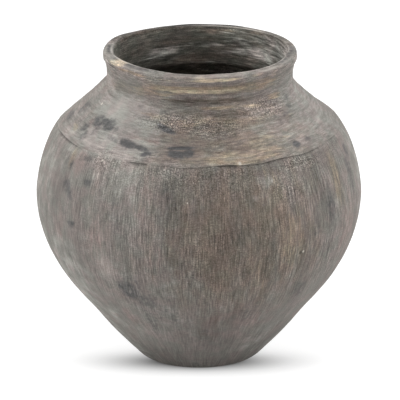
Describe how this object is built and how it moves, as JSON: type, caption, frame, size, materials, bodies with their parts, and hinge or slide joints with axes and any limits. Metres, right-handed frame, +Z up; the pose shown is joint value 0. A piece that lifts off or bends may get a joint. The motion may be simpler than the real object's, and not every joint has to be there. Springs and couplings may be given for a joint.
{
  "type": "clay pot",
  "caption": "Round-bellied hand-built clay storage pot with a small flat foot, sloping shoulder, short collar and thick rolled lip, open at the mouth.",
  "frame": {"origin": "centre of the flat foot, on the ground", "axes": "+Z up the pot's axis; -Y is the side that faces the viewer of the picture, +X to the viewer's right"},
  "size_m": [0.3804, 0.3804, 0.3697],
  "materials": {
    "slab_clay": "unglazed, smoke-darkened, flat underside",
    "body_clay": "unglazed grey-brown clay pared with upright strokes",
    "shoulder_clay": "unglazed grey-brown clay wiped level, with smoke smudges and pale dust",
    "collar_clay": "unglazed brown clay wiped level",
    "lip_clay": "unglazed clay, rubbed pale on the edge"
  },
  "bodies": {
    "root": {"base_slab": "slab_clay", "body_wall": "body_clay", "shoulder": "shoulder_clay", "collar": "collar_clay", "rim_coil": "lip_clay"}
  },
  "joints": []
}
